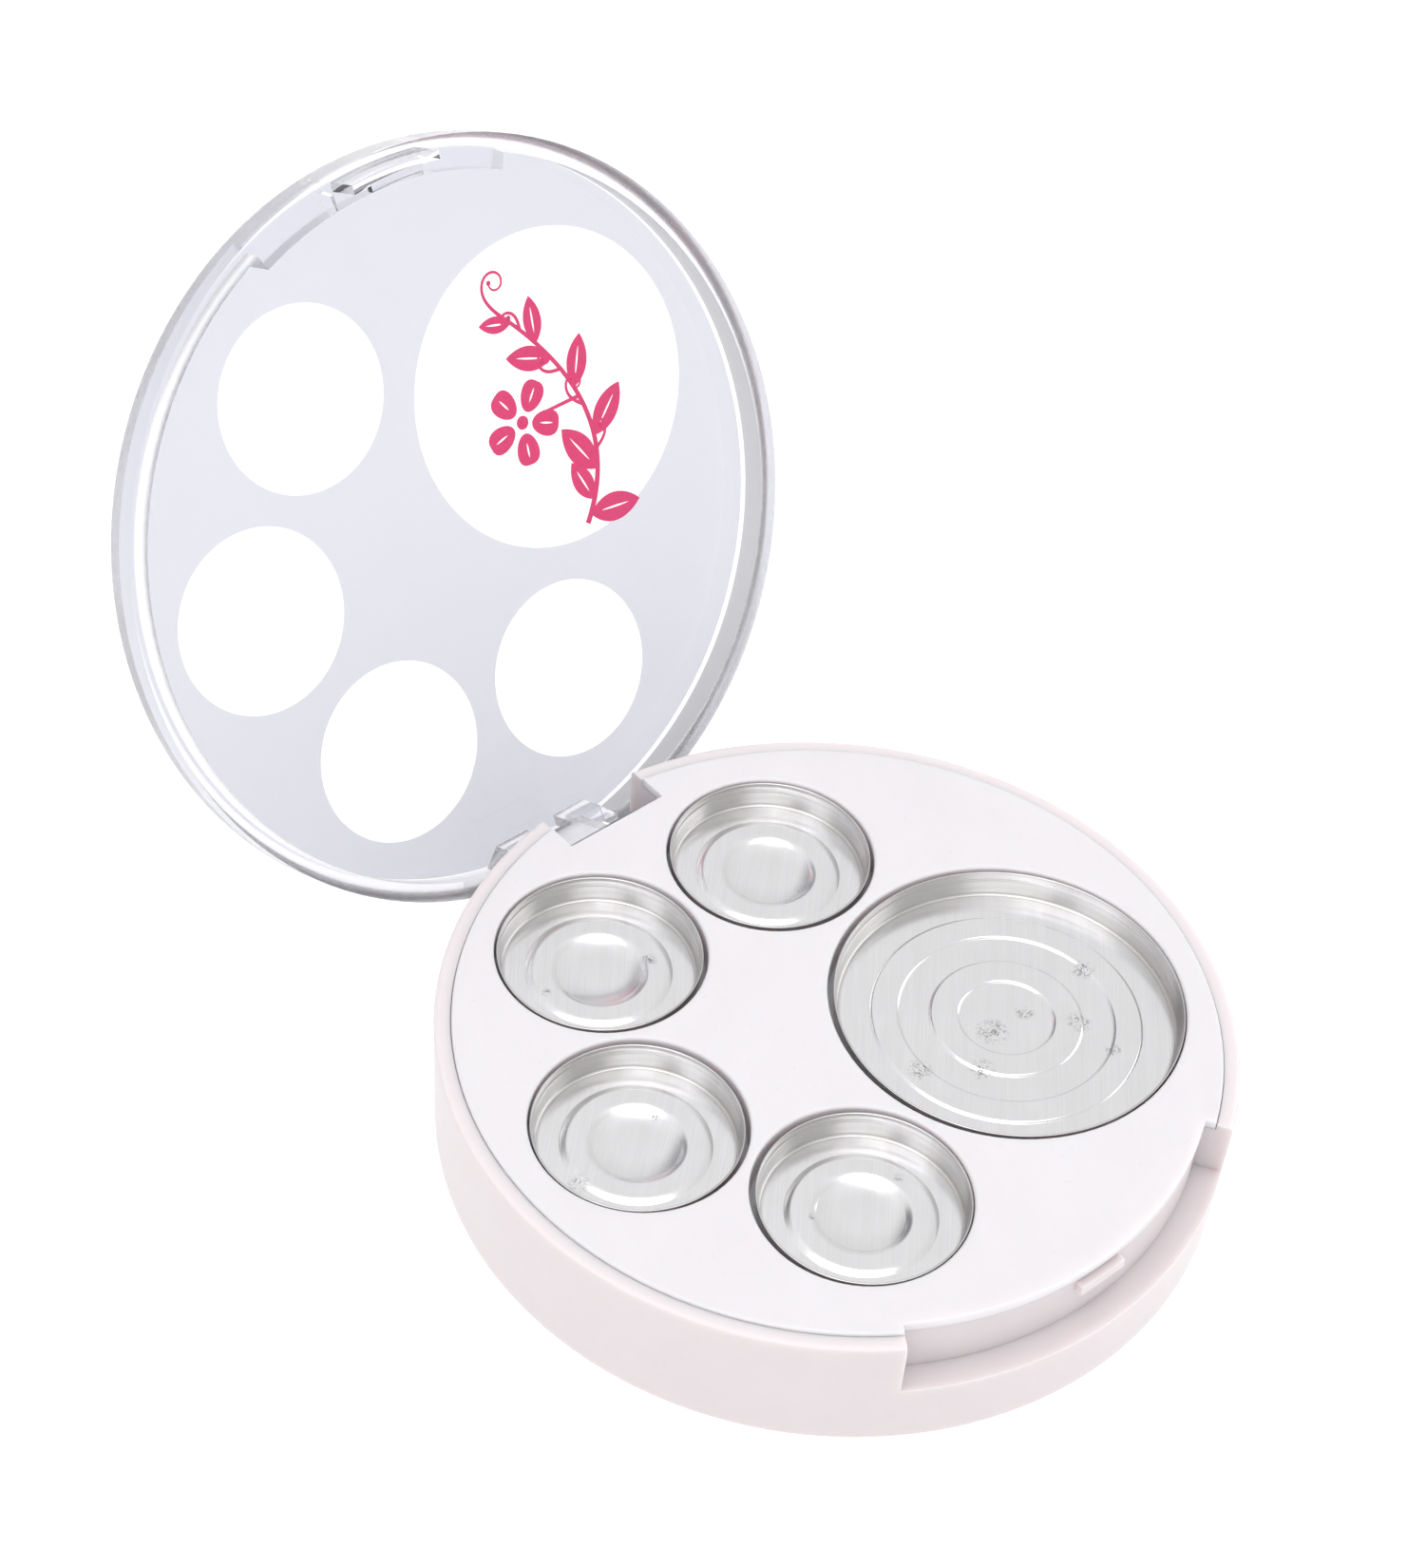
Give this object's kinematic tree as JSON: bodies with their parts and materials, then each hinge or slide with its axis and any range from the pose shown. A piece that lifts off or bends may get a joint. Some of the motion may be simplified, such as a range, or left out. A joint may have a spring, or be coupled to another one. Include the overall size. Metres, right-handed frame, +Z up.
{
  "type": "refillable pan palette",
  "caption": "Round refillable palette: a shallow base with metal pans set in a plate, and a hinged frosted lid with clear round windows and a front catch.",
  "frame": {"origin": "centre of the base's round underside, on the table", "axes": "+Z up, the hinge at +Y, the thumb notch at -Y, X along the hinge pins"},
  "size_m": [0.1, 0.1514, 0.093],
  "materials": {
    "shell_plastic": "semi-gloss, very pale pink",
    "plate_plastic": "semi-gloss, very pale pink",
    "lid_plastic": "frosted translucent, clear in the windows",
    "window_plastic": "clear polished plastic",
    "motif_print": "printed ink, satin",
    "pan_metal": "rolled sheet, bright, fine grain",
    "pad_adhesive": "white foam tape",
    "pin_steel": "ground steel"
  },
  "bodies": {
    "base": {"base_shell": "shell_plastic", "pan_plate": "plate_plastic", "hinge_pin_left": "pin_steel", "hinge_pin_right": "pin_steel"},
    "lid": {"lid": "lid_plastic"},
    "large_refill": {"pan_large": "pan_metal", "pad_large": "pad_adhesive"},
    "back_right_refill": {"pan_back_right": "pan_metal", "pad_back_right": "pad_adhesive"},
    "back_left_refill": {"pan_back_left": "pan_metal", "pad_back_left": "pad_adhesive"},
    "left_refill": {"pan_left": "pan_metal", "pad_left": "pad_adhesive"},
    "front_left_refill": {"pan_front_left": "pan_metal", "pad_front_left": "pad_adhesive"}
  },
  "joints": [
    {"name": "lid_hinge", "type": "hinge", "parent": "base", "child": "lid", "pos_m": [0, 0.04616, 0.00948], "axis": [-1, 0, 0], "range_deg": [-116.4, 0]},
    {"name": "large_lift", "type": "slide", "parent": "base", "child": "large_refill", "axis": [0, 0, 1], "range_m": [0, 0.02]},
    {"name": "back_right_lift", "type": "slide", "parent": "base", "child": "back_right_refill", "axis": [0, 0, 1], "range_m": [0, 0.02]},
    {"name": "back_left_lift", "type": "slide", "parent": "base", "child": "back_left_refill", "axis": [0, 0, 1], "range_m": [0, 0.02]},
    {"name": "left_lift", "type": "slide", "parent": "base", "child": "left_refill", "axis": [0, 0, 1], "range_m": [0, 0.02]},
    {"name": "front_left_lift", "type": "slide", "parent": "base", "child": "front_left_refill", "axis": [0, 0, 1], "range_m": [0, 0.02]}
  ]
}
